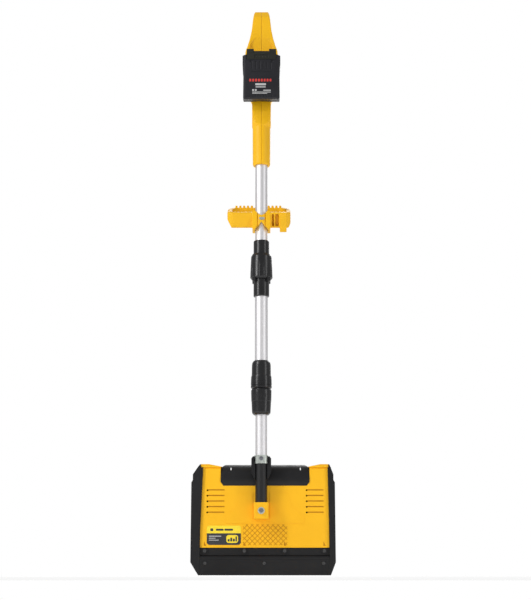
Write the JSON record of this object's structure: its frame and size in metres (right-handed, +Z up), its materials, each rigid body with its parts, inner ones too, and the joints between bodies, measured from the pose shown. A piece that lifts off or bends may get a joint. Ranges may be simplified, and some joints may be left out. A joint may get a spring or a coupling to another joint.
{
  "type": "cordless snow shovel",
  "caption": "Cordless powered snow shovel: paddle-rotor head under a telescopic pole with slide-on battery, trigger loop and clamp-on second handle.",
  "frame": {"origin": "on the ground under the middle of the whole object's box", "axes": "+Z up along the pole, +Y the way the rotor throws, operator on the -Y side"},
  "size_m": [0.307, 0.2745, 1.2809],
  "materials": {
    "yellow_shell": "fine moulded texture, satin",
    "black_plastic": "fine moulded texture",
    "black_gloss": "smooth moulded",
    "battery_plastic": "fine moulded texture",
    "tube_aluminium": "satin anodised",
    "stub_steel": "black powder coat",
    "zinc": "zinc plated",
    "shaft_steel": "ground",
    "rubber": "moulded",
    "copper_alloy": "bare",
    "cell_wrap": "shrink wrap",
    "lead_jacket": "smooth"
  },
  "bodies": {
    "head": {"left_side_cover": "black_plastic", "right_side_cover": "black_plastic", "left_side_plate": "black_plastic", "right_side_plate": "black_plastic", "cover_screws": "shaft_steel", "chamber_wall": "black_plastic", "rear_shell": "yellow_shell", "motor_cover": "black_plastic", "scraper_bar": "black_plastic", "rear_screws": "zinc", "rotor_bearings": "shaft_steel", "motor_can": "shaft_steel", "drive_bearing": "shaft_steel", "motor_mount": "black_plastic", "controller_box": "black_gloss", "pole_bracket": "black_plastic", "pole_stub": "stub_steel", "band_clip": "zinc", "clip_screw": "zinc", "foot_bolt": "zinc", "foot_washer": "zinc", "lower_tube": "tube_aluminium", "coiled_lead": "lead_jacket", "drive_belt": "rubber"},
    "rotor": {"rotor_shaft": "shaft_steel", "rotor_core": "black_plastic", "rotor_paddles": "rubber", "rotor_pulley": "black_gloss"},
    "motor_drive": {"motor_shaft": "shaft_steel", "motor_pulley": "shaft_steel"},
    "middle_pole": {"middle_tube": "tube_aluminium", "lock_body": "black_gloss", "lock_collet": "black_plastic", "coupler_spigot": "black_gloss", "contact_plug": "black_plastic"},
    "lock_ring": {"lock_nut": "black_gloss"},
    "upper_pole": {"upper_tube": "tube_aluminium", "coupler_socket": "black_gloss", "contact_socket": "black_plastic", "upper_lead": "lead_jacket", "handle_left_shell": "yellow_shell", "handle_right_shell": "yellow_shell", "handle_screws": "zinc", "trigger_pin": "shaft_steel", "trigger_spring": "shaft_steel", "trigger_switch": "black_plastic", "battery_rail": "black_plastic", "rail_blades": "copper_alloy"},
    "coupler_ring": {"coupler_nut": "black_gloss"},
    "aux_slider": {"aux_bush": "rubber"},
    "aux_grip": {"aux_loop": "yellow_shell", "aux_strap": "yellow_shell", "aux_screw": "zinc"},
    "trigger": {"trigger": "black_plastic"},
    "lock_button": {"lock_button": "black_plastic"},
    "battery": {"battery_case": "battery_plastic", "battery_cover": "battery_plastic", "latch_springs": "shaft_steel", "battery_cells": "cell_wrap"},
    "latch": {"battery_latch": "battery_plastic"}
  },
  "joints": [
    {"name": "rotor_spin", "type": "hinge", "parent": "head", "child": "rotor", "pos_m": [0, 0.053, 0.086], "axis": [1, 0, 0], "continuous": true},
    {"name": "motor_spin", "type": "hinge", "parent": "head", "child": "motor_drive", "pos_m": [0, -0.003, 0.2], "axis": [1, 0, 0], "continuous": true},
    {"name": "pole_slide", "type": "slide", "parent": "head", "child": "middle_pole", "axis": [0, 0, 1], "range_m": [-0.06, 0.11], "deforming": ["coiled_lead"]},
    {"name": "lock_twist", "type": "hinge", "parent": "middle_pole", "child": "lock_ring", "pos_m": [-0.004, -0.053, 0.36], "axis": [0, 0, 1], "range_deg": [0, 120]},
    {"name": "section_pull", "type": "slide", "parent": "middle_pole", "child": "upper_pole", "axis": [0, 0, 1], "range_m": [0, 0.036]},
    {"name": "coupler_twist", "type": "hinge", "parent": "middle_pole", "child": "coupler_ring", "pos_m": [-0.004, -0.053, 0.655], "axis": [0, 0, 1], "range_deg": [0, 90]},
    {"name": "aux_slide", "type": "slide", "parent": "upper_pole", "child": "aux_slider", "axis": [0, 0, 1], "range_m": [-0.015, 0.08]},
    {"name": "aux_turn", "type": "hinge", "parent": "aux_slider", "child": "aux_grip", "pos_m": [-0.004, -0.053, 0.775], "axis": [0, 0, 1], "range_deg": [-90, 90]},
    {"name": "trigger_pull", "type": "hinge", "parent": "upper_pole", "child": "trigger", "pos_m": [-0.004, 0.021, 1.226], "axis": [1, 0, 0], "range_deg": [0, 9], "stiffness_Nm_per_rad": 0.5, "springref_deg": -9.74},
    {"name": "lock_press", "type": "slide", "parent": "upper_pole", "child": "lock_button", "axis": [1, 0, 0], "range_m": [0, 0.003], "stiffness_N_per_m": 300, "springref_m": -0.002},
    {"name": "battery_slide", "type": "slide", "parent": "upper_pole", "child": "battery", "axis": [0, 0, 1], "range_m": [0, 0.085]},
    {"name": "latch_press", "type": "slide", "parent": "battery", "child": "latch", "axis": [0, 1, 0], "range_m": [0, 0.0025], "stiffness_N_per_m": 800, "springref_m": -0.002}
  ],
  "couplings": [
    {"joint": "motor_spin", "follows": "rotor_spin", "ratio": 4}
  ]
}
